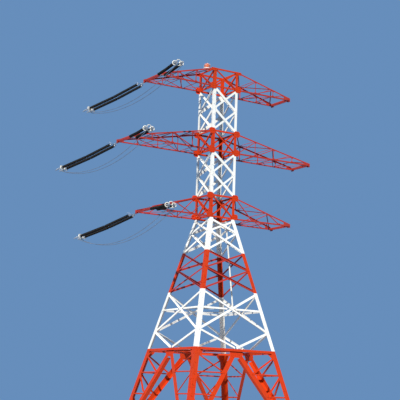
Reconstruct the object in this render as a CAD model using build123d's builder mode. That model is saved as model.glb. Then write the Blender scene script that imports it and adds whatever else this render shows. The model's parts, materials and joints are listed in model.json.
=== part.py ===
"""Lattice transmission pylon, red and white, four legs, three pairs of cross-arms.

Millimetres, +Z up, origin on the ground at the tower's axis.
+X is the direction of the right-hand arms, Y is the direction of the line.
The tower is a straight square shaft above the waist and flares out below it.
"""
import os
from math import atan2, cos, degrees, hypot, radians, sin, sqrt, tan

from build123d import *

os.makedirs("parts", exist_ok=True)

# ------------------------------------------------------------------ levels
Z_TOP = 29345.0      # top of the legs, top arms' upper chord
Z_ARM1 = 27892.0     # top arms' lower chord
Z_UP2 = 24363.0      # middle arms' upper chord
Z_ARM2 = 22828.0     # middle arms' lower chord
Z_UP3 = 19316.0      # bottom arms' upper chord
Z_WAIST = 17600.0    # bottom arms' lower chord, where the legs start to flare
Z_J7 = 16540.0       # first joint below the waist
Z_J8 = 14989.0       # white above, red below
Z_J9 = 13636.0
Z_J10 = 11949.0      # red above, white below
Z_J11 = 10574.0      # crossing of the large X, horizontal ring with plan bracing
Z_J12 = 8950.0
Z_BELT = 7622.0      # white above, red below
PLATE = 30.0         # thickness of the base plates

# ------------------------------------------------------------------ body
A_TOP = 1100.0       # half width of the shaft above the waist
FLARE = 0.2394       # growth of the half width per unit of height below it
SLOPE = sqrt(1 + FLARE**2)
LEG_UP, T_UP = 220.0, 18.0      # leg angle above the waist
LEG_LOW, T_LOW = 300.0, 22.0    # leg angle below the waist
LEG_FOOT = 400.0                # leg angle below the belt
T_BAR = 12.0         # thickness of the bracing angles
RED_BAR = 130.0      # bracing beside the arms
WHITE_BAR = (235.0, 150.0)      # bracing of the straight shaft, outer and inner, +-Y faces
WHITE_BAR_X = (130.0, 190.0)    # the same on the +-X faces
LOW_BAR = 130.0      # red bracing of the flared body
PALE_BAR = 170.0     # white bracing of the flared body
WAIST_BAR, WAIST_BAR_X = (205.0, 145.0), (130.0, 170.0)
PALE_BAR_X = 140.0   # its outer bar on the +-X faces
BASE_BAR = 360.0     # main diagonals of the base
BELT_BAR = 220.0     # belt angle

# ------------------------------------------------------------------ arms
ARMS = {             # upper chord, lower chord, tip, tip half width
    "top": (Z_TOP - 70, Z_ARM1, 6058.0, 1258.0),
    "middle": (Z_UP2 - 20, Z_ARM2, 8183.0, 1201.0),
    "bottom": (Z_UP3 - 20, Z_WAIST + 70, 6267.0, 1311.0),
}
ARM_GAP = 16.0       # the arm starts just clear of the leg
CHORD, T_CHORD, CHORD_FLANGE = 105.0, 10.0, 80.0
WEB, T_WEB, WEB_FLANGE = 60.0, 7.0, 45.0
NOSE = 80.0          # upper chord above the lower chord at the tip
LUG_DROP = 120.0     # lug below the lower chord
LUG_T, LUG_R = 24.0, 24.0
LUG_X = 56.0         # lug bore inside the tip

# ------------------------------------------------------------------ strings
LINK = 400.0         # lug to the first insulator
ROD = 2480.0         # one insulator
JOINT = 90.0         # fitting between the two insulators of a string
ROD_D = 220.0
ROD_GAP = 480.0      # twin insulators, centre to centre
CLAMP_GAP = 450.0    # twin clamps, centre to centre
RING_R, RING_TUBE = 152.0, 34.0    # grading ring around the end of each insulator
FAR = (22.1, 16.8, 13.6)    # turn towards the arm's outside, droop of both rods
NEAR = (16.5, 6.4, 5.0)
JUMPER_D = 36.0


def half(z):
    """half width of the tower at height z, at the legs' outer corner"""
    return A_TOP + FLARE * max(0.0, Z_WAIST - z)


def bar(p, q, width):
    """flat of a bracing bar between two points of the sketch"""
    with Locations(Location(((p[0] + q[0]) / 2, (p[1] + q[1]) / 2, 0),
                            (0, 0, degrees(atan2(q[1] - p[1], q[0] - p[0]))))):
        Rectangle(hypot(q[0] - p[0], q[1] - p[1]), width)


def strip(p, q, width, t, edge, trim):
    """edge-on line of a bar's standing flange, shortened at both ends"""
    length = hypot(q[0] - p[0], q[1] - p[1])
    ex, ey = (q[0] - p[0]) / length, (q[1] - p[1]) / length
    off = edge * (width - t) / 2
    with Locations(Location(((p[0] + q[0]) / 2 - ey * off,
                             (p[1] + q[1]) / 2 + ex * off, 0),
                            (0, 0, degrees(atan2(ey, ex))))):
        Rectangle(length - 2 * trim, t)


def face_plane(lower, depth):
    """plane of the -Y face at a depth inside the legs' outer face, local y down"""
    normal = (0, 1, -FLARE) if lower else (0, 1, 0)
    return Plane(origin=(0, -A_TOP, Z_WAIST), x_dir=(1, 0, 0), z_dir=normal).offset(depth)


def on_face(lower, u, z):
    """a point of the face, from its distance to the middle and its height"""
    return (u, (Z_WAIST - z) * (SLOPE if lower else 1.0))


def window(lower, z_hi, z_lo, margin, u_in=None):
    """outline of the face between two heights, clear of the legs' other flanges"""
    hi, lo = half(z_hi) - margin, half(z_lo) - margin
    left_hi, left_lo = (-hi, -lo) if u_in is None else (u_in, u_in)
    return [on_face(lower, left_hi, z_hi), on_face(lower, hi, z_hi),
            on_face(lower, lo, z_lo), on_face(lower, left_lo, z_lo)]


def face(lower, z_hi, z_lo, outer, inner, plates=(), flange=60.0, u_in=None, edge=1,
         leg=None):
    """one face of bracing: outer bars flange outwards, inner bars flange inwards"""
    t_leg = T_LOW if lower else T_UP
    leg = leg or (LEG_LOW if lower else LEG_UP)
    m_flat = (t_leg + 2 * T_BAR) * SLOPE + 10
    m_flange = leg + 40
    with BuildPart() as one:
        for bars, depth, out in ((outer, t_leg, True), (inner, t_leg + T_BAR, False)):
            if not bars:
                continue
            with BuildSketch(face_plane(lower, depth)):
                for u1, z1, u2, z2, w in bars:
                    bar(on_face(lower, u1, z1), on_face(lower, u2, z2), w)
                if out:
                    for pts in plates:
                        Polygon(*[on_face(lower, u, z) for u, z in pts], align=None)
                Polygon(*window(lower, z_hi, z_lo, m_flat, u_in), align=None,
                        mode=Mode.INTERSECT)
            extrude(amount=T_BAR)
            with BuildSketch(face_plane(lower, depth if out else depth + T_BAR)):
                for u1, z1, u2, z2, w in bars:
                    p, q = on_face(lower, u1, z1), on_face(lower, u2, z2)
                    if q[0] < p[0]:
                        p, q = q, p
                    strip(p, q, w, T_BAR, edge, 60)
                Polygon(*window(lower, z_hi, z_lo, m_flange, u_in), align=None,
                        mode=Mode.INTERSECT)
            extrude(amount=-flange if out else flange)
    return one.part


def cross(z_hi, z_lo, gauge, width):
    """the two diagonals of an X, one for each layer"""
    hi, lo = half(z_hi) - gauge, half(z_lo) - gauge
    return (-hi, z_hi, lo, z_lo, width), (hi, z_hi, -lo, z_lo, width)


def horizontal(z, gauge, width):
    return (-(half(z) - gauge), z, half(z) - gauge, z, width)


def leg_sections(z_hi, z_lo, size, t, lean):
    """outlines of the four leg angles at z_hi with the direction they run in"""
    a = half(z_hi)
    for sx, sy in ((1, 1), (1, -1), (-1, -1), (-1, 1)):
        yield ([(sx * a, sy * a), (sx * (a - size), sy * a),
                (sx * (a - size), sy * (a - t)), (sx * (a - t), sy * (a - t)),
                (sx * (a - t), sy * (a - size)), (sx * a, sy * (a - size))],
               (sx * lean, sy * lean, -1.0), (z_hi - z_lo) * sqrt(1 + 2 * lean**2))


def legs(bands, size, t, lean):
    with BuildPart() as group:
        for z_hi, z_lo in bands:
            for pts, way, length in leg_sections(z_hi, z_lo, size, t, lean):
                with BuildSketch(Plane.XY.offset(z_hi)):
                    Polygon(*pts, align=None)
                extrude(amount=length, dir=way)
    return group.part


def around(face_y, face_x=None):
    """the -Y face and its copy on +Y, and a face for -X and +X given as a -Y face"""
    with BuildPart() as group:
        with PolarLocations(0, 2):
            add(face_y)
        with PolarLocations(0, 2, 90):
            add(face_x or face_y)
    return group.part


pieces = {}          # name of each piece and its part


def keep(name, part):
    part.label = name
    pieces[name] = part
    export_step(part, "parts/" + name + ".step")


# ------------------------------------------------------------------ legs
keep("upper_legs_red", legs(((Z_TOP, Z_ARM1), (Z_UP2, Z_ARM2), (Z_UP3, Z_WAIST)),
                            LEG_UP, T_UP, 0.0))
keep("upper_legs_white", legs(((Z_ARM1, Z_UP2), (Z_ARM2, Z_UP3)), LEG_UP, T_UP, 0.0))
keep("waist_legs_white", legs(((Z_WAIST, Z_J8),), LEG_LOW, T_LOW, FLARE))
keep("lower_legs_red", legs(((Z_J8, Z_J10),), LEG_LOW, T_LOW, FLARE))
keep("lower_legs_white", legs(((Z_J10, Z_BELT),), LEG_LOW, T_LOW, FLARE))
keep("foot_legs_red", legs(((Z_BELT, PLATE),), LEG_FOOT, T_LOW, FLARE))

FOOT = half(0) - 120.0     # middle of each base plate
BOLT = 250.0               # half spacing of its anchor bolts
with BuildPart() as base_plates:
    with BuildSketch(Plane.XY):
        with GridLocations(2 * FOOT, 2 * FOOT, 2, 2):
            RectangleRounded(700, 700, 30)
    extrude(amount=PLATE)
    with Locations(Plane.XY.offset(PLATE)):
        with GridLocations(2 * FOOT, 2 * FOOT, 2, 2):
            with GridLocations(2 * BOLT, 2 * BOLT, 2, 2):
                Hole(20)
keep("base_plates", base_plates.part)

# ------------------------------------------------------------------ shaft bracing
G_UP, G_LOW = 105.0, 140.0      # gauge lines of the legs
E = 70.0                        # half the width of the horizontals at a colour change


def shaft_face(z_hi, z_lo, levels, widths, rails):
    """straight part of a face between two heights"""
    outer, inner, plates = [], [], []
    for top, low in zip(levels, levels[1:]):
        outer.append(cross(top, low, G_UP, widths[0])[0])
        inner.append(cross(top, low, G_UP, widths[1])[1])
    for z in rails:
        outer.append(horizontal(z, G_UP, 2 * E))
    for z in levels[1:-1]:
        for s in (-1, 1):
            plates.append([(s * (A_TOP - 40), z + 190), (s * (A_TOP - 40), z - 190),
                           (s * (A_TOP - 330), z - 90), (s * (A_TOP - 330), z + 90)])
    return face(False, z_hi, z_lo, outer, inner, plates)


RED = (RED_BAR, RED_BAR)
keep("top_arm_bracing", around(shaft_face(
    Z_TOP, Z_ARM1 - E, (Z_TOP - 90, Z_ARM1), RED, (Z_TOP - E, Z_ARM1))))
keep("middle_arm_bracing", around(shaft_face(
    Z_UP2 + E, Z_ARM2 - E, (Z_UP2, Z_ARM2), RED, (Z_UP2, Z_ARM2))))
keep("bottom_arm_bracing", around(shaft_face(
    Z_UP3 + E, Z_WAIST + 4, (Z_UP3, Z_WAIST + 90), RED, (Z_UP3, Z_WAIST + 4 + E))))
for name, high, low in (("upper_shaft_bracing", Z_ARM1, Z_UP2),
                        ("lower_shaft_bracing", Z_ARM2, Z_UP3)):
    keep(name, around(*[shaft_face(high - E, low + E, (high - 120, (high + low) / 2, low + 120),
                                   widths, ()) for widths in (WHITE_BAR, WHITE_BAR_X)]))

# ------------------------------------------------------------------ flared bracing
waist_faces = []
for wide, slim in (WAIST_BAR, WAIST_BAR_X):
    panels = ((Z_WAIST - 150, Z_J7), (Z_J7, Z_J8 + 60))
    waist_faces.append(face(
        True, Z_WAIST - 12, Z_J8, [cross(*panel, G_LOW, wide)[0] for panel in panels],
        [cross(*panel, G_LOW, slim)[1] for panel in panels],
        [[(s * (half(Z_J7) - 50), Z_J7 + 200), (s * (half(Z_J7) - 20), Z_J7 - 200),
          (s * (half(Z_J7) - 400), Z_J7 - 90), (s * (half(Z_J7) - 400), Z_J7 + 90)]
         for s in (-1, 1)]))
keep("waist_bracing", around(*waist_faces))

r1, r2 = cross(Z_J8 - 70, Z_J9, G_LOW, LOW_BAR)
r3, r4 = cross(Z_J9, Z_J10 + 70, G_LOW, LOW_BAR)
b1, b2 = cross(Z_J10 - 120, Z_J12, G_LOW, PALE_BAR)
b3 = cross(Z_J10 - 120, Z_J12, G_LOW, PALE_BAR_X)[0]
v1 = (-(half(Z_J12) - G_LOW), Z_J12, -70, Z_BELT + 60, PALE_BAR)
v2 = (half(Z_J12) - G_LOW, Z_J12, 70, Z_BELT + 60, PALE_BAR)
for name, z_hi, z_lo, outer, inner in (
        ("red_outer_diagonals", Z_J8, Z_J10, [r1, r3], []),
        ("red_inner_diagonals", Z_J8, Z_J10, [], [r2, r4]),
        ("white_outer_diagonals", Z_J10, Z_BELT, [b1], []),
        ("white_inner_diagonals", Z_J10, Z_BELT, [], [b2])):
    if name[:3] == "red":
        keep(name, around(face(True, z_hi, z_lo, outer, inner, flange=90.0, edge=-1)))
    elif outer:
        keep(name, around(face(True, z_hi, z_lo, outer, []), face(True, z_hi, z_lo, [b3], [])))
    else:
        keep(name, around(face(True, z_hi, z_lo, [], inner)))

vee_left = face(True, Z_J10, Z_BELT, [v1], [])
vee_right = face(True, Z_J10, Z_BELT, [], [v2])
with BuildPart() as vee_braces:
    with PolarLocations(0, 4):
        add(vee_left)
        add(vee_right)
keep("vee_braces", vee_braces.part)

ring_half = face(True, Z_J10, Z_BELT,
                 [(380, Z_J11, half(Z_J11) - 60, Z_J11, 150)], [])
with BuildPart() as ring_horizontals:
    with PolarLocations(0, 4):
        add(ring_half)
    mirror(about=Plane.YZ)
keep("ring_horizontals", ring_horizontals.part)

CORNER = [(half(Z_BELT) + 120, Z_BELT), (half(Z_BELT) + 120, Z_BELT - 660),
          (half(Z_BELT) - 340, Z_BELT - 560), (half(Z_BELT) - 680, Z_BELT - 250)]
belt_face = face(True, Z_BELT, Z_BELT - 760,
                 [(-half(Z_BELT), Z_BELT - BELT_BAR / 2, half(Z_BELT), Z_BELT - BELT_BAR / 2,
                   BELT_BAR)], [],
                 [[(-560, Z_BELT - 20), (560, Z_BELT - 20), (560, Z_BELT - 400),
                   (330, Z_BELT - 640), (-330, Z_BELT - 640), (-560, Z_BELT - 400)]]
                 + [[(s * u, z) for u, z in CORNER] for s in (-1, 1)],
                 flange=120.0, leg=LEG_FOOT)
with BuildPart() as belt:
    with PolarLocations(0, 4):
        add(belt_face)
keep("belt", belt.part)

# each half of a base face is a flat truss between the leg and the main diagonal
Z_APEX = Z_BELT - 290


def diag_u(z):
    """distance of the base diagonal's centre line from the middle of the face"""
    low = half(420.0) - G_LOW - 10
    return 150 + (low - 150) * (Z_APEX - z) / (Z_APEX - 420.0)


REDUNDANTS = (5830.0, 4230.0, 2630.0)
base_bars = [(diag_u(Z_APEX), Z_APEX, diag_u(420.0), 420.0, BASE_BAR)]
ties = []
last = Z_BELT - 430
for z in REDUNDANTS:
    ties.append((diag_u(z) - 20, z, half(z) - 60, z, 100.0))
    ties.append((diag_u(z), z, half(last) - G_LOW, last, 120.0))
    last = z
with BuildPart() as base_one:
    with BuildSketch(face_plane(True, T_LOW + T_BAR)):
        for u1, z1, u2, z2, w in base_bars:
            bar(on_face(True, u1, z1), on_face(True, u2, z2), w)
        Polygon(*window(True, Z_BELT - 225, 130.0, (T_LOW + 2 * T_BAR) * SLOPE + 10, 30),
                align=None, mode=Mode.INTERSECT)
    extrude(amount=T_BAR)
    with BuildSketch(face_plane(True, T_LOW + 2 * T_BAR)):
        for u1, z1, u2, z2, w in base_bars:
            strip(on_face(True, u1, z1), on_face(True, u2, z2), w, T_BAR, 1, 150)
        Polygon(*window(True, Z_BELT - 700, 130.0, LEG_FOOT + 40, 30),
                align=None, mode=Mode.INTERSECT)
    extrude(amount=280)
    with BuildSketch(face_plane(True, T_LOW)):
        for u1, z1, u2, z2, w in ties:
            bar(on_face(True, u1, z1), on_face(True, u2, z2), w)
        Polygon(*window(True, Z_BELT - BELT_BAR - 4, 130.0,
                        (T_LOW + 2 * T_BAR) * SLOPE + 10, 640),
                align=None, mode=Mode.INTERSECT)
        Polygon(*[on_face(True, u + du, z - dz) for (u, z), du, dz in zip(
                    CORNER, (60, 60, -3, -6), (0, 4, 4, 2))],
                align=None, mode=Mode.SUBTRACT)
    extrude(amount=T_BAR)
    with BuildSketch(face_plane(True, T_LOW)):
        for u1, z1, u2, z2, w in ties:
            strip(on_face(True, u1, z1), on_face(True, u2, z2), w, 9.0, 1, 240)
        Polygon(*window(True, Z_BELT - 800, 130.0, LEG_FOOT + 30, 640),
                align=None, mode=Mode.INTERSECT)
    extrude(amount=-70)
with BuildPart() as base_trusses:
    with PolarLocations(0, 4):
        add(base_one.part)
    mirror(about=Plane.YZ)
keep("base_trusses", base_trusses.part)

# ------------------------------------------------------------------ plan bracing
with BuildPart() as waist_diaphragm:
    reach = half(Z_WAIST - 230) - 75
    with BuildSketch(Plane.XY.offset(Z_WAIST - 230)):
        bar((-reach, -reach), (reach, reach), 110)
        bar((-reach, reach), (reach, -reach), 110)
        with Locations((0, 0)):
            Rectangle(360, 360)
        Rectangle(2 * reach + 20, 2 * reach + 20, mode=Mode.INTERSECT)
    extrude(amount=12)
    with BuildSketch(Plane.XY.offset(Z_WAIST - 230)):
        strip((-reach, -reach), (reach, reach), 110, 12, 1, 300)
        strip((-reach, reach), (reach, -reach), 110, 12, 1, 300)
    extrude(amount=-80)
keep("waist_diaphragm", waist_diaphragm.part)

with BuildPart() as ring_quarter:
    reach = half(Z_J11) - 175
    with BuildSketch(Plane.XY.offset(Z_J11 + 90)):
        bar((reach, 0), (0, reach), 120)
        Polygon((reach - 390, 4), (reach, 4), (reach, 200), (reach - 240, 300), align=None)
        Polygon((4, reach - 390), (4, reach), (200, reach), (300, reach - 240), align=None)
        Polygon((3, 3), (reach + 8, 3), (reach + 8, reach + 8), (3, reach + 8),
                align=None, mode=Mode.INTERSECT)
    extrude(amount=12)
    with BuildSketch(Plane.XY.offset(Z_J11 + 90)):
        strip((reach, 0), (0, reach), 120, 12, 1, 260)
    extrude(amount=-90)
with BuildPart() as ring_plan_bracing:
    with PolarLocations(0, 4):
        add(ring_quarter.part)
keep("ring_plan_bracing", ring_plan_bracing.part)

with BuildPart() as belt_quarter:
    reach = half(Z_BELT - 150) - 54
    with BuildSketch(Plane.XY.offset(Z_BELT - 150)):
        bar((reach, 0), (0, reach), 140)
        Polygon((reach - 460, 4), (reach, 4), (reach, 260), (reach - 300, 360), align=None)
        Polygon((4, reach - 460), (4, reach), (260, reach), (360, reach - 300), align=None)
        Polygon((3, 3), (reach + 8, 3), (reach + 8, reach + 8), (3, reach + 8),
                align=None, mode=Mode.INTERSECT)
    extrude(amount=12)
    with BuildSketch(Plane.XY.offset(Z_BELT - 150)):
        strip((reach, 0), (0, reach), 140, 12, 1, 320)
    extrude(amount=-110)
with BuildPart() as belt_plan_bracing:
    with PolarLocations(0, 4):
        add(belt_quarter.part)
keep("belt_plan_bracing", belt_plan_bracing.part)


# ------------------------------------------------------------------ arms
def arm_shape(upper, lower, tip, width, web, struts):
    """arm towards +X: two side frames, a bottom and a top plane of bracing"""
    x0 = A_TOP + ARM_GAP
    y0 = A_TOP - ARM_GAP
    beta = atan2(width - A_TOP, tip - A_TOP)
    run = (tip - x0) / cos(beta)
    side = Plane(origin=(x0, -y0, 0), x_dir=(cos(beta), -sin(beta), 0),
                 z_dir=(sin(beta), cos(beta), 0))
    nose = lower + NOSE

    def up(f):
        return (f * run, -(upper + f * (nose - upper)))

    def lo(f):
        return (f * run, -lower)

    ends = {"u": up, "l": lo}
    webs = [(ends[a](f), ends[b](g)) for a, f, b, g in web]
    box = [(0, -upper - 60), (run, -nose - 66), (run, -lower + 66), (0, -lower + 66)]
    short = [(0, -upper - 60), (run - 130, -nose - 100), (run - 130, -lower + 66),
             (0, -lower + 66)]
    gamma = atan2(upper - nose, tip - x0)
    with BuildPart() as arm:
        with BuildSketch(side):
            bar(up(0), up(1), CHORD)
            bar(lo(0), lo(1), CHORD)
            Polygon((run - 620, up(1 - 620 / run)[1]), (run, -nose - CHORD / 2),
                    (run, -lower + CHORD / 2), (run - 620, -lower), align=None)
            Polygon(*box, align=None, mode=Mode.INTERSECT)
        extrude(amount=T_CHORD)
        with BuildSketch(side.offset(T_CHORD)):
            strip(up(0), up(1), CHORD, T_CHORD, -1, 0)
            strip(lo(0), lo(1), CHORD, T_CHORD, 1, 0)
            Polygon(*short, align=None, mode=Mode.INTERSECT)
        extrude(amount=CHORD_FLANGE)
        with BuildSketch(side.offset(T_CHORD)):
            for p, q in webs:
                bar(p, q, WEB)
            Polygon(*short, align=None, mode=Mode.INTERSECT)
        extrude(amount=T_WEB)
        with BuildSketch(side.offset(T_CHORD + T_WEB)):
            for p, q in webs:
                strip(p, q, WEB, T_WEB, 1, 125)
        extrude(amount=WEB_FLANGE - T_WEB)
        mirror(about=Plane.XZ)

        def edge(x):
            return y0 + (x - x0) * tan(beta) - (T_CHORD + T_WEB + 6)

        for plane, scale, z_flange in (
                (Plane.XY.offset(lower - CHORD / 2 + T_CHORD + 2), 1.0, 1),
                (Plane(origin=(x0, 0, upper), x_dir=(cos(gamma), 0, -sin(gamma)),
                       z_dir=(sin(gamma), 0, cos(gamma))).offset(
                           CHORD / 2 - T_CHORD - 3 - T_WEB), cos(gamma), -1)):
            shift = 0.0 if z_flange == 1 else x0
            stations = [(x0 + (tip - 285 - x0) * f) for f in struts]
            at = [((x - shift) / scale, edge(x)) for x in stations]
            members = [((x, -y), (x, y)) for x, y in at[1:-1]]
            sign = 1
            for (xa, ya), (xb, yb) in zip(at, at[1:]):
                members.append(((xa, -sign * ya), (xb, sign * yb)))
                sign = -sign
            outline = [(at[0][0] + 4, -at[0][1]), (at[-1][0], -at[-1][1]),
                       (at[-1][0], at[-1][1]), (at[0][0] + 4, at[0][1])]
            with BuildSketch(plane):
                for p, q in members:
                    bar(p, q, WEB)
                Polygon(*outline, align=None, mode=Mode.INTERSECT)
            extrude(amount=T_WEB)
            with BuildSketch(plane.offset(T_WEB if z_flange == 1 else 0)):
                for p, q in members:
                    strip(p, q, WEB, T_WEB, 1, 160)
            extrude(amount=z_flange * (WEB_FLANGE - T_WEB))
    return arm.part


WEBS = {
    "top": ([("l", 0.333, "u", 0.333), ("l", 0.666, "u", 0.666), ("l", 0.02, "u", 0.333),
             ("l", 0.333, "u", 0.666), ("l", 0.666, "u", 0.86)],
            (0.0, 0.333, 0.666, 1.0)),
    "middle": ([("l", 0.25, "u", 0.25), ("l", 0.5, "u", 0.5), ("l", 0.75, "u", 0.75),
                ("l", 0.02, "u", 0.25), ("l", 0.25, "u", 0.5), ("l", 0.5, "u", 0.75)],
               (0.0, 0.25, 0.5, 0.75, 1.0)),
    "bottom": ([("u", 0.02, "l", 0.32), ("l", 0.32, "u", 0.6), ("u", 0.6, "l", 0.8)],
               (0.0, 0.32, 0.6, 1.0)),
}
for level, (upper, lower, tip, width) in ARMS.items():
    web, struts = WEBS[level]
    right = arm_shape(upper, lower, tip, width, web, struts)
    with BuildPart() as left:
        mirror(right, about=Plane.YZ)
    keep(level + "_right_arm", right)
    keep(level + "_left_arm", left.part)

# tip beams: two angles across the open tip, with a lug plate under each corner
tips = []
for level, (upper, lower, tip, width) in ARMS.items():
    far_y, near_y, flange_y = width - 28.0, width - 46.0, width - 118.0
    bottom, top = lower - 54.0, lower + 70.0
    with BuildPart() as tip_beam:
        with BuildSketch(Plane(origin=(tip - 12, 0, 0), x_dir=(0, 1, 0), z_dir=(1, 0, 0))):
            Polygon((-far_y, bottom), (far_y, bottom), (far_y, top), (-far_y, top),
                    align=None)
        extrude(amount=12)
        with BuildSketch(Plane(origin=(tip - 272, 0, 0), x_dir=(0, 1, 0), z_dir=(1, 0, 0))):
            Polygon((-flange_y, bottom), (flange_y, bottom), (flange_y, lower - 41),
                    (near_y, lower - 41), (near_y, top), (-near_y, top),
                    (-near_y, lower - 41), (-flange_y, lower - 41), align=None)
        extrude(amount=12)
        with BuildSketch(Plane.XY.offset(bottom)):
            for x in (tip - 47, tip - 225):
                with Locations((x, 0)):
                    Rectangle(70, 2 * flange_y)
        extrude(amount=10)
        with BuildSketch(Plane.XY.offset(bottom)):
            for s in (-1, 1):
                with Locations((tip - 136, s * (width - 147.5))):
                    Rectangle(272, 205)
        extrude(amount=-12)
        with BuildSketch(Plane(origin=(tip - 262, 0, lower), x_dir=(0, 1, 0),
                               z_dir=(1, 0, 0))):
            Rectangle(12, 108)
        extrude(amount=252)
        with BuildSketch(Plane.XY.offset(bottom - 12)):
            for s in (-1, 1):
                for x in (tip - 106, tip - 6):
                    with Locations((x, s * (width - 147.5))):
                        Rectangle(12, 205)
        extrude(amount=-(LUG_DROP - LUG_T / 2 - 66))
        with BuildSketch(Plane.XY.offset(lower - LUG_DROP - LUG_T / 2)):
            for s in (-1, 1):
                with Locations((tip - LUG_X, s * (width - 128))):
                    Rectangle(112, 256)
                with Locations((tip - LUG_X, s * width)):
                    Circle(56)
                    Circle(LUG_R, mode=Mode.SUBTRACT)
        extrude(amount=LUG_T)
    tips.append(tip_beam.part)
with BuildPart() as tip_beams:
    for one in tips:
        add(one)
    mirror(about=Plane.YZ)
keep("tip_beams", tip_beams.part)

# gusset plates on the legs at the six chord levels
GUSSET_IN = 250.0
GUSSETS = ((Z_TOP - 250, Z_TOP - 2), (Z_ARM1 - 230, Z_ARM1 + 280),
           (Z_UP2 - 270, Z_UP2 + 210), (Z_ARM2 - 230, Z_ARM2 + 280),
           (Z_UP3 - 270, Z_UP3 + 210), (Z_WAIST + 2, Z_WAIST + 430))
with BuildPart() as arm_gussets:
    for low, high in GUSSETS:
        cut = min(110.0, (high - low) * 0.3)
        with BuildSketch(Plane(origin=(0, -A_TOP, 0), x_dir=(1, 0, 0), z_dir=(0, -1, 0))):
            for s in (-1, 1):
                Polygon((s * (A_TOP - GUSSET_IN), low + cut), (s * (A_TOP - GUSSET_IN + cut), low),
                        (s * (A_TOP + 310 - cut), low), (s * (A_TOP + 310), low + cut),
                        (s * (A_TOP + 310), high - cut), (s * (A_TOP + 310 - cut), high),
                        (s * (A_TOP - GUSSET_IN + cut), high), (s * (A_TOP - GUSSET_IN), high - cut),
                        align=None)
        extrude(amount=14)
    mirror(about=Plane.XZ)
    for low, high in GUSSETS:
        cut = min(110.0, (high - low) * 0.3)
        with BuildSketch(Plane(origin=(A_TOP, 0, 0), x_dir=(0, 1, 0), z_dir=(1, 0, 0))):
            for s in (-1, 1):
                Polygon((s * (A_TOP - GUSSET_IN), low + cut), (s * (A_TOP - GUSSET_IN + cut), low),
                        (s * (A_TOP - 4), low), (s * (A_TOP - 4), high),
                        (s * (A_TOP - GUSSET_IN + cut), high), (s * (A_TOP - GUSSET_IN), high - cut),
                        align=None)
        extrude(amount=14)
        with BuildSketch(Plane(origin=(-A_TOP, 0, 0), x_dir=(0, 1, 0), z_dir=(1, 0, 0))):
            for s in (-1, 1):
                Polygon((s * (A_TOP - GUSSET_IN), low + cut), (s * (A_TOP - GUSSET_IN + cut), low),
                        (s * (A_TOP - 4), low), (s * (A_TOP - 4), high),
                        (s * (A_TOP - GUSSET_IN + cut), high), (s * (A_TOP - GUSSET_IN), high - cut),
                        align=None)
        extrude(amount=-14)
keep("arm_gussets", arm_gussets.part)


# ------------------------------------------------------------------ strings
def heading(turn, droop, side):
    """direction of a string on the left arms, side +1 away, -1 towards the front"""
    t, f = radians(turn), radians(droop)
    return Vector(-sin(t) * cos(f), side * cos(t) * cos(f), -sin(f))


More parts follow.
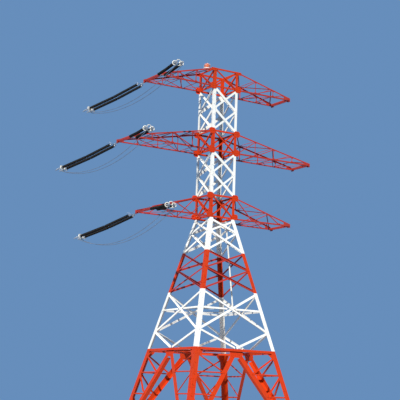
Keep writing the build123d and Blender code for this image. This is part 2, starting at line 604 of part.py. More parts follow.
def string_shape(lug, turn, droop1, droop2, side):
    """twin tension string from its lug: insulators, fittings, ring, clamp ends"""
    d1, d2 = heading(turn, droop1, side), heading(turn, droop2, side)
    mid = (d1 + d2).normalized()
    across = d1.cross(Vector(0, 0, 1)).normalized()
    up1, up2 = across.cross(d1), across.cross(d2)
    twin = [(-ROD_GAP / 2, 0), (ROD_GAP / 2, 0)]
    first = lug + d1 * LINK
    knee = first + d1 * ROD
    second = knee + mid * JOINT
    end = second + d2 * ROD
    with BuildPart() as rods:
        with BuildSketch(Plane(origin=first + d1 * 4, x_dir=across, z_dir=d1)):
            with Locations(*twin):
                Circle(ROD_D / 2)
        extrude(amount=ROD - 8)
        with BuildSketch(Plane(origin=second + d2 * 4, x_dir=across, z_dir=d2)):
            with Locations(*twin):
                Circle(ROD_D / 2)
        extrude(amount=ROD - 8)
        with BuildSketch(Plane(origin=knee + mid * 4, x_dir=across, z_dir=mid)):
            with Locations(*twin):
                Circle(40)
        extrude(amount=JOINT - 8)
    with BuildPart() as tower_end:
        with BuildSketch(Plane(origin=lug - d1 * 38, x_dir=across, z_dir=d1)):
            with Locations((0, 36), (0, -36)):
                Rectangle(54, 12)
        extrude(amount=218)
        with BuildSketch(Plane(origin=lug + d1 * 150, x_dir=across, z_dir=d1)):
            Rectangle(54, 84)
        extrude(amount=50)
        with BuildSketch(Plane(origin=lug - up1 * 52, x_dir=across, z_dir=up1)):
            Circle(18)
        extrude(amount=104)
        with BuildSketch(Plane(origin=lug + d1 * 200, x_dir=across, z_dir=d1)):
            Circle(22)
        extrude(amount=45)
        with BuildSketch(Plane(origin=lug + d1 * 240 - up1 * 10, x_dir=across, z_dir=up1)):
            Polygon((-70, 0), (70, 0), (300, 55), (300, 110), (-300, 110), (-300, 55),
                    align=None)
        extrude(amount=20)
        with BuildSketch(Plane(origin=lug + d1 * 340, x_dir=across, z_dir=d1)):
            with Locations(*twin):
                Circle(30)
        extrude(amount=60)
    clamp = [(-CLAMP_GAP / 2, 0), (CLAMP_GAP / 2, 0)]
    with BuildPart() as line_end:
        with BuildSketch(Plane(origin=end, x_dir=across, z_dir=d2)):
            with Locations(*twin):
                Circle(30)
        extrude(amount=60)
        with BuildSketch(Plane(origin=end + d2 * 50 - up2 * 10, x_dir=across, z_dir=up2)):
            Polygon((-300, 0), (300, 0), (300, 60), (260, 115), (-260, 115), (-300, 60),
                    align=None)
        extrude(amount=20)
        with BuildSketch(Plane(origin=end + d2 * 155, x_dir=across, z_dir=d2)):
            with Locations(*clamp):
                Circle(46)
        extrude(amount=405)
        with BuildSketch(Plane(origin=end + d2 * 560, x_dir=across, z_dir=d2)):
            with Locations(*clamp):
                Circle(27)
        extrude(amount=150)
        back = (up2 * -0.80 - d2 * 0.60).normalized()
        with BuildSketch(Plane(origin=end + d2 * 330, x_dir=across, z_dir=back)):
            with Locations(*clamp):
                Circle(24)
        extrude(amount=190)
    with BuildPart() as ring:
        for x in (-ROD_GAP / 2, ROD_GAP / 2):
            with Locations(Plane(origin=end + across * x + d2 * 10, x_dir=across,
                                 z_dir=d2).location):
                Torus(RING_R, RING_TUBE)
        with BuildSketch(Plane(origin=end + d2 * 20, x_dir=across, z_dir=d2)):
            with Locations((ROD_GAP / 2 - RING_R, 0), (RING_R - ROD_GAP / 2, 0)):
                Rectangle(40, 16)
        extrude(amount=29.5)
    starts = [end + d2 * 330 + across * x + back * 190 for x, _ in clamp]
    return rods.part, [tower_end.part, line_end.part], ring.part, starts, back


strings = {"far": [], "near": []}
for level, (upper, lower, tip, width) in ARMS.items():
    for side_name, side, (turn, droop1, droop2) in (("far", 1, FAR), ("near", -1, NEAR)):
        lug = Vector(-(tip - LUG_X), side * width, lower - LUG_DROP)
        strings[side_name].append(string_shape(lug, turn, droop1, droop2, side))
for side_name in ("far", "near"):
    with BuildPart() as insulators:
        for rods, _, _, _, _ in strings[side_name]:
            add(rods)
    keep(side_name + "_insulators", insulators.part)
    with BuildPart() as fittings:
        for _, parts_of_string, _, _, _ in strings[side_name]:
            for one in parts_of_string:
                add(one)
    keep(side_name + "_string_fittings", fittings.part)
with BuildPart() as grading_rings:
    for side_name in ("far", "near"):
        for _, _, ring, _, _ in strings[side_name]:
            add(ring)
keep("grading_rings", grading_rings.part)

# ------------------------------------------------------------------ jumpers
# each hangs between the far and the near clamp of one arm; route points in mm
SAG = {"top": 950.0, "middle": 1050.0, "bottom": 1200.0}
RUNS = 26
for number, level in enumerate(ARMS):
    far, near = strings["far"][number], strings["near"][number]
    # the twin clamps' left and right swap over between the two strings
    for k, tag in ((0, "a"), (1, "b")):
        start, out = far[3][k], far[4]
        goal, back = near[3][1 - k], near[4]
        p0, p1 = start + out * 120, goal + back * 120
        route = [start + out * 1.5]
        for i in range(RUNS + 1):
            t = i / RUNS
            p = p0 + (p1 - p0) * t - Vector(0, 0, SAG[level] * 4 * t * (1 - t))
            route.append(p)
        route.append(goal + back * 1.5)
        route = [Vector(round(p.X), round(p.Y), round(p.Z)) for p in route]
        radii = []
        for a, b, c in zip(route, route[1:], route[2:]):
            turn = radians((b - a).get_angle(c - b))
            radii.append(0.45 * min((b - a).length, (c - b).length) / tan(turn / 2))
        with BuildPart() as jumper:
            with BuildLine() as line:
                FilletPolyline(*route, radius=radii)
            with BuildSketch(Plane(origin=route[0], z_dir=route[1] - route[0])):
                Circle(JUMPER_D / 2)
            sweep()
        name = level + "_jumper_" + tag
        length = sum(one.length for one in line.line.edges())
        print(name, "length %.0f mm" % length, "volume ratio %.4f" % (
            jumper.part.volume / (3.14159265 * JUMPER_D**2 / 4 * length)),
            "smallest radius %.0f" % min(radii), "runs %.0f..%.0f" % (
                min((b - a).length for a, b in zip(route, route[1:])),
                max((b - a).length for a, b in zip(route, route[1:]))))
        print("   ", [(p.X / 1000, p.Y / 1000, p.Z / 1000) for p in route])
        keep(name, jumper.part)

# ------------------------------------------------------------------ lamp, conduit
LAMP = (-A_TOP + 50, 90.0)
with BuildPart() as lamp_base:
    for z, radius, height in ((16, 75, 150), (166, 300, 40), (206, 250, 22)):
        with BuildSketch(Plane.XY.offset(Z_TOP + z)):
            with Locations(LAMP):
                Circle(radius)
        extrude(amount=height)
    with BuildSketch(Plane.XY.offset(Z_TOP + 2)):
        with Locations(LAMP):
            Rectangle(200, 300)
    extrude(amount=14)
keep("lamp_base", lamp_base.part)
with BuildPart() as lamp_lens:
    with BuildSketch(Plane(origin=(LAMP[0], LAMP[1], Z_TOP + 228), x_dir=(1, 0, 0),
                           z_dir=(0, -1, 0))):
        with BuildLine():
            Polyline((0, 0), (230, 0), (240, 80), (233, 220), (200, 292), (138, 340),
                     (0, 362), close=True)
        make_face()
    revolve(axis=Axis((LAMP[0], LAMP[1], 0), (0, 0, 1)))
keep("lamp_lens", lamp_lens.part)

with BuildPart() as conduit:
    depth = T_LOW + 2 * T_BAR + 170
    top_z, low_z = Z_WAIST - 60, Z_J11 + 130
    way = Vector(FLARE, 0.165, -1)
    with BuildSketch(Plane(origin=(half(top_z) - depth * SLOPE, -257, top_z), z_dir=way)):
        Circle(62)
    extrude(amount=(top_z - low_z) * way.length)
keep("conduit", conduit.part)

print(len(pieces), "pieces")
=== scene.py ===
"""Looks of the lattice transmission pylon: painted steel, insulator strings, jumpers."""
import json
import math
import random

import bpy
from mathutils import Matrix, Vector


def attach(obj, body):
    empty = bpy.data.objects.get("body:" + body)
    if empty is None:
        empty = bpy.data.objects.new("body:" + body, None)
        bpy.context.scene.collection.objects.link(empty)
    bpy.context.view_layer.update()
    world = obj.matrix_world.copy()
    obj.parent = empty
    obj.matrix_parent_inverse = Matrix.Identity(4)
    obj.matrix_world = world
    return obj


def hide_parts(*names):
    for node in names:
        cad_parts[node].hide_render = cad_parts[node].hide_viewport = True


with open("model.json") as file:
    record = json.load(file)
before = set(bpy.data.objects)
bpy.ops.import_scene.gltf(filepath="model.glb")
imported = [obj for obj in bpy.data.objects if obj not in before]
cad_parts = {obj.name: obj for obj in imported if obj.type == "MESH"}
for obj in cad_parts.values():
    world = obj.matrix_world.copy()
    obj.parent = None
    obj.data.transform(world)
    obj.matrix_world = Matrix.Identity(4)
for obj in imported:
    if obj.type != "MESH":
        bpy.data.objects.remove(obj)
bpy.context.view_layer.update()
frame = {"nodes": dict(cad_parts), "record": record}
random.seed(7)
scene = bpy.context.scene

# ---------------------------------------------------------------- camera
YAW, PITCH, ROLL = math.radians(58.376), math.radians(10.080), math.radians(1.875)
ahead = Vector((math.cos(YAW) * math.cos(PITCH), math.sin(YAW) * math.cos(PITCH),
                math.sin(PITCH)))
flat = Vector((math.sin(YAW), -math.cos(YAW), 0.0))
above = flat.cross(ahead)
right = flat * math.cos(ROLL) + above * math.sin(ROLL)
up = above * math.cos(ROLL) - flat * math.sin(ROLL)
cam_data = bpy.data.cameras.new("camera")
cam_data.sensor_width = 36.0
cam_data.lens = 107.85
cam_data.clip_end = 600.0
cam = bpy.data.objects.new("camera", cam_data)
scene.collection.objects.link(cam)
turn = Matrix((right, up, -ahead)).transposed().to_4x4()
cam.matrix_world = Matrix.Translation((-48.842, -77.100, 2.907)) @ turn
scene.camera = cam

# ---------------------------------------------------------------- sizes, in metres
Z_TOP, Z_ARM1, Z_UP2, Z_ARM2 = 29.345, 27.892, 24.363, 22.828
Z_UP3, Z_WAIST, Z_J7, Z_J8 = 19.316, 17.600, 16.540, 14.989
Z_J9, Z_J10, Z_J11, Z_J12, Z_BELT = 13.636, 11.949, 10.574, 8.950, 7.622
A_TOP, FLARE = 1.100, 0.2394
SLOPE = math.sqrt(1 + FLARE**2)
T_UP, T_LOW, T_BAR = 0.018, 0.022, 0.012
LEG_UP, LEG_LOW, LEG_FOOT = 0.220, 0.300, 0.400
G_UP, G_LOW = 0.105, 0.140
ARMS = {"top": (Z_TOP - 0.070, Z_ARM1, 6.058, 1.258),
        "middle": (Z_UP2 - 0.020, Z_ARM2, 8.183, 1.201),
        "bottom": (Z_UP3 - 0.020, Z_WAIST + 0.070, 6.267, 1.311)}
FAR, NEAR = (22.1, 16.8, 13.6), (16.5, 6.4, 5.0)
LINK, ROD, JOINT, ROD_GAP = 0.400, 2.480, 0.090, 0.480
RING_R = 0.152


def half(z):
    return A_TOP + FLARE * max(0.0, Z_WAIST - z)


def quarter(p, k):
    """p turned by k quarter turns about the tower's axis"""
    x, y = p.x, p.y
    for _ in range(k % 4):
        x, y = -y, x
    return Vector((x, y, p.z))


def on_face(k, lower, u, z, depth=0.0):
    """point and outward direction of one of the four faces"""
    if lower:
        n = Vector((0, 1, -FLARE)) / SLOPE
        p = Vector((u, -half(z), z)) + n * depth
    else:
        n = Vector((0, 1, 0))
        p = Vector((u, -A_TOP, z)) + n * depth
    return quarter(p, k), quarter(-n, k)


# ---------------------------------------------------------------- mesh building
class Shape:
    """collects faces, then becomes one object that rides on the tower"""

    def __init__(self):
        self.v, self.f, self.smooth = [], [], []

    def add(self, verts, faces, smooth=False):
        n = len(self.v)
        self.v += [tuple(p) for p in verts]
        self.f += [tuple(i + n for i in f) for f in faces]
        self.smooth += [smooth] * len(faces)

    def box(self, centre, ax, ay, az):
        """box from its centre and three half-edge vectors"""
        c = Vector(centre)
        s = [c + ax * i + ay * j + az * k for i in (-1, 1) for j in (-1, 1) for k in (-1, 1)]
        faces = [(0, 1, 3, 2), (4, 6, 7, 5), (0, 4, 5, 1), (2, 3, 7, 6), (0, 2, 6, 4),
                 (1, 5, 7, 3)]
        if ax.cross(ay).dot(az) < 0:
            faces = [f[::-1] for f in faces]
        self.add(s, faces)

    def prism(self, outline, n, t):
        """flat plate: an outline of points given by its underside, and its thickness"""
        m = len(outline)
        low = [Vector(p) for p in outline]
        area = Vector((0, 0, 0))
        for a, b in zip(low, low[1:] + low[:1]):
            area += (a - low[0]).cross(b - low[0])
        if area.dot(n) < 0:
            low.reverse()
        high = [p + n * t for p in low]
        faces = [tuple(range(m))[::-1], tuple(range(m, 2 * m))]
        faces += [(i, (i + 1) % m, m + (i + 1) % m, m + i) for i in range(m)]
        self.add(low + high, faces)

    def rod(self, a, b, r, sides=8, r2=None, caps=True, smooth=True):
        a, b = Vector(a), Vector(b)
        r2 = r if r2 is None else r2
        d = (b - a).normalized()
        x = d.orthogonal().normalized()
        y = d.cross(x)
        ring = [(math.cos(2 * math.pi * i / sides), math.sin(2 * math.pi * i / sides))
                for i in range(sides)]
        v = [a + (x * c + y * s) * r for c, s in ring]
        v += [b + (x * c + y * s) * r2 for c, s in ring]
        self.add(v, [(i, (i + 1) % sides, sides + (i + 1) % sides, sides + i)
                     for i in range(sides)], smooth)
        if caps:
            self.add(v[:sides], [tuple(range(sides))[::-1]])
            self.add(v[sides:], [tuple(range(sides))])

    def lathe(self, a, d, profile, sides=20):
        """closed body of revolution about the line from a along d; (r, s) points"""
        x = d.orthogonal().normalized()
        y = d.cross(x)
        n = len(self.v)
        m = len(profile)
        verts = []
        for r, s in profile:
            for i in range(sides):
                t = 2 * math.pi * i / sides
                verts.append(a + d * s + (x * math.cos(t) + y * math.sin(t)) * r)
        faces = []
        for j in range(m - 1):
            for i in range(sides):
                k = (i + 1) % sides
                faces.append((j * sides + i, j * sides + k, (j + 1) * sides + k,
                              (j + 1) * sides + i))
        self.add(verts, faces, True)
        self.add(verts[:sides], [tuple(range(sides))[::-1]])
        self.add(verts[-sides:], [tuple(range(sides))])

    def bolt(self, p, n, r=0.0205, h=0.016, turn=None):
        """hexagon head with a washer under it and a short thread end"""
        x = n.orthogonal().normalized()
        y = n.cross(x)
        t0 = random.random() if turn is None else turn
        p = Vector(p)
        for rr, lo, hi, sides in ((r * 1.32, 0.0, 0.004, 10), (r, 0.004, h, 6),
                                  (r * 0.52, h, h + 0.012, 6)):
            ring = [(math.cos(2 * math.pi * (i / sides) + t0),
                     math.sin(2 * math.pi * (i / sides) + t0)) for i in range(sides)]
            v = [p + n * lo + (x * c + y * s) * rr for c, s in ring]
            v += [p + n * hi + (x * c + y * s) * rr for c, s in ring]
            self.add(v, [(i, (i + 1) % sides, sides + (i + 1) % sides, sides + i)
                         for i in range(sides)] + [tuple(range(sides, 2 * sides)),
                                                   tuple(range(sides))[::-1]])

    def make(self, name, material, slot, keep_flat=False):
        mesh = bpy.data.meshes.new(name)
        mesh.from_pydata(self.v, [], self.f)
        mesh.polygons.foreach_set("use_smooth", self.smooth)
        mesh.materials.append(material)
        mesh.update()
        obj = bpy.data.objects.new(name, mesh)
        scene.collection.objects.link(obj)
        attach(obj, "root")
        return obj


# ---------------------------------------------------------------- materials
def new_material(name):
    m = bpy.data.materials.new(name)
    m.use_nodes = True
    nt = m.node_tree
    return m, nt, nt.nodes, nt.links, nt.nodes["Principled BSDF"]


def noise(nt, coord, scale, detail=4.0, rough=0.55, stretch=(1, 1, 1), offset=(0, 0, 0)):
    mapping = nt.nodes.new("ShaderNodeMapping")
    mapping.inputs["Scale"].default_value = stretch
    mapping.inputs["Location"].default_value = offset
    nt.links.new(coord, mapping.inputs["Vector"])
    n = nt.nodes.new("ShaderNodeTexNoise")
    n.inputs["Scale"].default_value = scale
    n.inputs["Detail"].default_value = detail
    n.inputs["Roughness"].default_value = rough
    nt.links.new(mapping.outputs["Vector"], n.inputs["Vector"])
    return n.outputs["Fac"]


def ramp(nt, fac, stops):
    r = nt.nodes.new("ShaderNodeValToRGB")
    el = r.color_ramp.elements
    while len(el) < len(stops):
        el.new(0.5)
    for e, (pos, col) in zip(el, stops):
        e.position = pos
        e.color = (*col, 1.0) if len(col) == 3 else col
    nt.links.new(fac, r.inputs["Fac"])
    return r.outputs["Color"]


def mix(nt, fac, a, b, blend="MIX"):
    n = nt.nodes.new("ShaderNodeMix")
    n.data_type = "RGBA"
    n.blend_type = blend
    for sock, val in ((n.inputs["Factor"], fac), (n.inputs["A"], a), (n.inputs["B"], b)):
        if isinstance(val, (int, float)):
            sock.default_value = val
        elif isinstance(val, tuple):
            sock.default_value = (*val, 1.0)
        else:
            nt.links.new(val, sock)
    return n.outputs["Result"]


def grey(nt, fac, lo, hi, a, b):
    """a value between a and b from a factor between lo and hi"""
    n = nt.nodes.new("ShaderNodeMapRange")
    n.inputs["From Min"].default_value = lo
    n.inputs["From Max"].default_value = hi
    n.inputs["To Min"].default_value = a
    n.inputs["To Max"].default_value = b
    nt.links.new(fac, n.inputs["Value"])
    return n.outputs["Result"]


def bump(nt, height, strength, distance, shader):
    n = nt.nodes.new("ShaderNodeBump")
    n.inputs["Strength"].default_value = strength
    n.inputs["Distance"].default_value = distance
    nt.links.new(height, n.inputs["Height"])
    nt.links.new(n.outputs["Normal"], shader.inputs["Normal"])


def paint(name, base, faded, dirt, rust_amount):
    """brushed outdoor paint on steel: fading patches, run-down dirt, rust specks"""
    m, nt, nodes, links, bsdf = new_material(name)
    co = nodes.new("ShaderNodeTexCoord").outputs["Object"]
    patches = noise(nt, co, 0.55, 5.0, 0.6)
    col = mix(nt, grey(nt, patches, 0.35, 0.68, 0.0, 1.0), base, faded)
    streaks = noise(nt, co, 1.0, 6.0, 0.65, stretch=(9.0, 9.0, 0.55))
    col = mix(nt, grey(nt, streaks, 0.52, 0.78, 0.0, 0.55), col, dirt)
    fine = noise(nt, co, 42.0, 5.0, 0.7)
    col = mix(nt, grey(nt, fine, 0.30, 0.75, 0.0, 0.16), col, dirt)
    specks = noise(nt, co, 13.0, 8.0, 0.72, offset=(3.1, 1.7, 0.4))
    rust = ramp(nt, noise(nt, co, 90.0, 3.0, 0.6), [(0.3, (0.12, 0.035, 0.012)),
                                                  (0.7, (0.30, 0.105, 0.035))])
    spot = grey(nt, specks, 0.735 - rust_amount, 0.775 - rust_amount, 0.0, 1.0)
    col = mix(nt, spot, col, rust)
    links.new(col, bsdf.inputs["Base Color"])
    rough = grey(nt, patches, 0.3, 0.7, 0.34, 0.50)
    r2 = nodes.new("ShaderNodeMath")
    r2.operation = "MULTIPLY_ADD"
    links.new(spot, r2.inputs[0])
    r2.inputs[1].default_value = 0.3
    links.new(rough, r2.inputs[2])
    links.new(r2.outputs[0], bsdf.inputs["Roughness"])
    brush = noise(nt, co, 26.0, 6.0, 0.7, stretch=(1.0, 1.0, 0.35))
    bump(nt, brush, 0.25, 0.004, bsdf)
    bsdf.inputs["Specular IOR Level"].default_value = 0.20
    return m


def zinc(name, light, dark, rough_lo, rough_hi):
    """galvanised steel: spangle and dull grey weathering"""
    m, nt, nodes, links, bsdf = new_material(name)
    co = nodes.new("ShaderNodeTexCoord").outputs["Object"]
    cell = nodes.new("ShaderNodeTexVoronoi")
    cell.inputs["Scale"].default_value = 55.0
    links.new(co, cell.inputs["Vector"])
    cloud = noise(nt, co, 3.2, 6.0, 0.65)
    col = mix(nt, grey(nt, cloud, 0.35, 0.7, 0.0, 1.0), light, dark)
    col = mix(nt, 0.16, col, cell.outputs["Color"], "SOFT_LIGHT")
    stain = noise(nt, co, 9.0, 7.0, 0.7, offset=(5.0, 2.0, 1.0))
    col = mix(nt, grey(nt, stain, 0.66, 0.74, 0.0, 0.6), col, (0.20, 0.11, 0.06))
    links.new(col, bsdf.inputs["Base Color"])
    bsdf.inputs["Metallic"].default_value = 0.75
    links.new(grey(nt, cloud, 0.3, 0.7, rough_lo, rough_hi), bsdf.inputs["Roughness"])
    bump(nt, cell.outputs["Distance"], 0.12, 0.002, bsdf)
    return m


RED = paint("red_paint_weathered", (0.59, 0.037, 0.002), (0.50, 0.042, 0.005),
            (0.22, 0.016, 0.006), 0.0)
# darker copy of the same red paint with the same weathering: painted shade for the arms and the
# members that take it
RED_PAINTED_SHADE = paint("red_paint_weathered_painted_shade", (0.46, 0.030, 0.014), (0.36, 0.040, 0.026),
             (0.15, 0.018, 0.012), 0.0)
WHITE = paint("white_paint_weathered", (0.84, 0.82, 0.75), (0.77, 0.74, 0.645),
              (0.49, 0.45, 0.36), -0.02)
ZINC = zinc("galvanised_steel_weathered", (0.56, 0.57, 0.57), (0.36, 0.37, 0.38), 0.38, 0.58)
RING = zinc("ring_pale_aluminium", (0.78, 0.74, 0.64), (0.56, 0.51, 0.40), 0.42, 0.55)
RING.node_tree.nodes["Principled BSDF"].inputs["Metallic"].default_value = 0.15
LAMP_WHITE = paint("lamp_white_enamel", (0.80, 0.79, 0.75), (0.70, 0.68, 0.62),
                   (0.40, 0.37, 0.32), -0.03)

GLAZE, nt, nodes, links, bsdf = new_material("insulator_dark_glaze")
co = nodes.new("ShaderNodeTexCoord").outputs["Object"]
dust = noise(nt, co, 5.0, 6.0, 0.65)
links.new(mix(nt, grey(nt, dust, 0.4, 0.8, 0.0, 0.5), (0.008, 0.007, 0.006),
              (0.024, 0.019, 0.016)), bsdf.inputs["Base Color"])
links.new(grey(nt, dust, 0.35, 0.75, 0.42, 0.60), bsdf.inputs["Roughness"])
bsdf.inputs["Specular IOR Level"].default_value = 0.12
bump(nt, noise(nt, co, 60.0, 3.0, 0.6), 0.08, 0.001, bsdf)

STRAND, nt, nodes, links, bsdf = new_material("jumper_stranded_aluminium")
co = nodes.new("ShaderNodeTexCoord").outputs["Object"]
wave = nodes.new("ShaderNodeTexWave")
wave.wave_type = "BANDS"
wave.bands_direction = "DIAGONAL"
wave.inputs["Scale"].default_value = 38.0
wave.inputs["Distortion"].default_value = 0.3
links.new(co, wave.inputs["Vector"])
grime = noise(nt, co, 2.5, 5.0, 0.6)
links.new(mix(nt, grey(nt, grime, 0.35, 0.7, 0.0, 1.0), (0.42, 0.43, 0.45),
              (0.22, 0.225, 0.235)), bsdf.inputs["Base Color"])
bsdf.inputs["Metallic"].default_value = 0.7
links.new(grey(nt, grime, 0.3, 0.7, 0.38, 0.6), bsdf.inputs["Roughness"])
bump(nt, wave.outputs["Fac"], 0.5, 0.003, bsdf)

LENS, nt, nodes, links, bsdf = new_material("lamp_orange_lens")
co = nodes.new("ShaderNodeTexCoord").outputs["Object"]
ribs = nodes.new("ShaderNodeTexWave")
ribs.bands_direction = "Z"
ribs.inputs["Scale"].default_value = 26.0
links.new(co, ribs.inputs["Vector"])
links.new(mix(nt, grey(nt, noise(nt, co, 6.0), 0.3, 0.7, 0.0, 1.0), (0.60, 0.090, 0.003),
              (0.50, 0.065, 0.003)), bsdf.inputs["Base Color"])
bsdf.inputs["Roughness"].default_value = 0.32
bsdf.inputs["Specular IOR Level"].default_value = 0.25
bsdf.inputs["Transmission Weight"].default_value = 0.08
bsdf.inputs["IOR"].default_value = 1.49
bump(nt, ribs.outputs["Fac"], 0.5, 0.006, bsdf)

# the slot red_paint_deep gets the darker red copy, which is painted shade
BY_SLOT = {"red_paint": RED, "red_paint_deep": RED_PAINTED_SHADE, "white_paint": WHITE, "galvanised_steel": ZINC,
           "insulator_glaze": GLAZE, "ring_aluminium": RING, "jumper_aluminium": STRAND,
           "lamp_orange": LENS, "lamp_white": LAMP_WHITE}
for part in frame["record"]["subparts"]:
    node = frame["nodes"][part["node"]]
    if not node.material_slots:
        node.data.materials.append(BY_SLOT[part["material_slot"]])
    for s in node.material_slots:
        s.material = BY_SLOT[part["material_slot"]]

# ---------------------------------------------------------------- bolts and plates
red_bolts, white_bolts = Shape(), Shape()
red_plates, white_plates = Shape(), Shape()


def colour_at(z):
    """is the leg red at this height?"""
    return (z > Z_ARM1 or Z_UP2 >= z > Z_ARM2 or Z_UP3 >= z > Z_WAIST
            or Z_J8 >= z > Z_J10 or z <= Z_BELT)


def end_bolts(lower, u1, z1, u2, z2, red, count=2, ends=(0, 1), depth=0.0):
    """bolts through the leg angle at the ends of a bracing bar, on all four faces"""
    length = math.hypot(u2 - u1, z2 - z1)
    for k in range(4):
        for e in ends:
            a, b = ((u1, z1), (u2, z2)) if e == 0 else ((u2, z2), (u1, z1))
            for i in range(count):
                t = (0.02 + 0.085 * i) / length
                u, z = a[0] + (b[0] - a[0]) * t, a[1] + (b[1] - a[1]) * t
                p, n = on_face(k, lower, u, z, depth)
                (red_bolts if red else white_bolts).bolt(p, n)


def cross(z_hi, z_lo, g):
    hi, lo = half(z_hi) - g, half(z_lo) - g
    return (-hi, z_hi, lo, z_lo), (hi, z_hi, -lo, z_lo)


def crossing_bolt(lower, z_hi, z_lo, g, red):
    hi, lo = half(z_hi) - g, half(z_lo) - g
    z = z_hi - (z_hi - z_lo) * hi / (hi + lo)
    for k in range(4):
        p, n = on_face(k, lower, 0.0, z, (T_LOW if lower else T_UP))
        (red_bolts if red else white_bolts).bolt(p, n)
        p, n = on_face(k, lower, 0.0, z, (T_LOW if lower else T_UP) + 2 * T_BAR)
        (red_bolts if red else white_bolts).bolt(p, -n)


shaft = [(False, Z_TOP - 0.09, Z_ARM1, True),
         (False, Z_ARM1 - 0.12, (Z_ARM1 + Z_UP2) / 2, False),
         (False, (Z_ARM1 + Z_UP2) / 2, Z_UP2 + 0.12, False),
         (False, Z_UP2, Z_ARM2, True),
         (False, Z_ARM2 - 0.12, (Z_ARM2 + Z_UP3) / 2, False),
         (False, (Z_ARM2 + Z_UP3) / 2, Z_UP3 + 0.12, False),
         (False, Z_UP3, Z_WAIST + 0.09, True),
         (True, Z_WAIST - 0.15, Z_J7, False), (True, Z_J7, Z_J8 + 0.06, False),
         (True, Z_J8 - 0.07, Z_J9, True), (True, Z_J9, Z_J10 + 0.07, True),
         (True, Z_J10 - 0.12, Z_J12, False)]
GUSSETS = ((Z_TOP - 0.250, Z_TOP - 0.002), (Z_ARM1 - 0.230, Z_ARM1 + 0.280),
           (Z_UP2 - 0.270, Z_UP2 + 0.210), (Z_ARM2 - 0.230, Z_ARM2 + 0.280),
           (Z_UP3 - 0.270, Z_UP3 + 0.210), (Z_WAIST + 0.002, Z_WAIST + 0.430))


def behind_gusset(z):
    return any(lo - 0.03 < z < hi + 0.03 for lo, hi in GUSSETS)


for lower, hi, lo, red in shaft:
    g = G_LOW if lower else G_UP
    for bar in cross(hi, lo, g):
        ends = tuple(e for e, z in ((0, hi), (1, lo)) if lower or not behind_gusset(z))
        end_bolts(lower, *bar, red, ends=ends)
    crossing_bolt(lower, hi, lo, g, red)
for s in (-1, 1):
    end_bolts(True, s * (half(Z_J12) - G_LOW), Z_J12, s * 0.07, Z_BELT + 0.06, False,
              ends=(0,))
    end_bolts(True, s * (half(Z_J11) - 0.14), Z_J11, s * 0.38, Z_J11, False, 3, ends=(0,))

# bolts in the gusset plates beside the arms
for low, high in GUSSETS:
    rows = 3 if high - low > 0.3 else 2
    for i in range(rows):
        z = low + (high - low) * (i + 0.5) / rows
        for sx in (-1, 1):
            for sy in (-1, 1):
                for u in (0.055, 0.155):
                    red_bolts.bolt((sx * (A_TOP - u), sy * (A_TOP + 0.014), z),
                                   Vector((0, sy, 0)))
                    red_bolts.bolt((sx * (A_TOP + 0.014), sy * (A_TOP - u), z),
                                   Vector((sx, 0, 0)))
                for u in (0.075, 0.165, 0.255):
                    if abs(z - (low + high) / 2) < 0.12 or u < 0.2:
                        red_bolts.bolt((sx * (A_TOP + u), sy * (A_TOP + 0.014), z),
                                       Vector((0, sy, 0)))

# leg splices: cover plates with two rows of bolts on both flanges
for z0, red in ((15.72, False), (12.76, True), (9.80, False), (5.02, True), (1.72, True)):
    for k in range(4):
        for s in (-1, 1):
            pts = []
            wide = (LEG_LOW if z0 > Z_BELT else LEG_FOOT) - 0.035
            for du, dz in ((0.035, 0.36), (wide, 0.36), (wide, -0.36), (0.035, -0.36)):
                pts.append(on_face(k, True, s * (half(z0 + dz) - du), z0 + dz)[0])
            n = on_face(k, True, 0, z0)[1]
            (red_plates if red else white_plates).prism(pts, n, 0.012)
            for du in (0.095, wide - 0.060):
                for j in range(6):
                    z = z0 - 0.30 + 0.12 * j
                    p = on_face(k, True, s * (half(z) - du), z)[0] + n * 0.012
                    (red_bolts if red else white_bolts).bolt(p, n)

# belt: bolts through the belt into the legs, and in the middle plates
for k in range(4):
    for s in (-1, 1):
        for du in (0.085, 0.200, 0.320):
            for dz in (0.055, 0.165, 0.275, 0.40, 0.52):
                if du < 0.30 or dz < 0.2:
                    p, n = on_face(k, True, s * (half(Z_BELT - dz) - du), Z_BELT - dz)
                    red_bolts.bolt(p, n)
        for u, dz in ((0.09, 0.36), (0.20, 0.36), (0.31, 0.36), (0.12, 0.47), (0.24, 0.47),
                      (0.42, 0.36), (0.09, 0.08), (0.22, 0.08), (0.35, 0.08), (0.48, 0.08)):
            p, n = on_face(k, True, s * u, Z_BELT - dz, T_LOW)
            red_bolts.bolt(p, n)
        for du, dz in ((0.46, 0.07), (0.57, 0.07), (0.46, 0.17), (0.57, 0.17), (0.46, 0.30)):
            p, n = on_face(k, True, s * (half(Z_BELT) - du), Z_BELT - dz, T_LOW)
            red_bolts.bolt(p, n)

# base trusses: ends of the small braces on the legs and on the main diagonal
Z_APEX = Z_BELT - 0.290
D_LOW = half(0.420) - G_LOW - 0.010


def diag_u(z):
    return 0.150 + (D_LOW - 0.150) * (Z_APEX - z) / (Z_APEX - 0.420)


last = Z_BELT - 0.430
for z in (5.830, 4.230, 2.630):
    for k in range(4):
        for s in (-1, 1):
            for du in (0.10, 0.19):
                p, n = on_face(k, True, s * (half(z) - du), z)
                red_bolts.bolt(p, n)
            for du in (0.02, 0.09):
                p, n = on_face(k, True, s * (diag_u(z) + du - 0.03), z, T_LOW)
                red_bolts.bolt(p, n)
    last = z
for k in range(4):
    for s in (-1, 1):
        for j in range(4):
            z = 0.52 + 0.115 * j
            p, n = on_face(k, True, s * (diag_u(z)), z)
            if abs(diag_u(z)) > half(z) - 0.28:
                red_bolts.bolt(p, n)

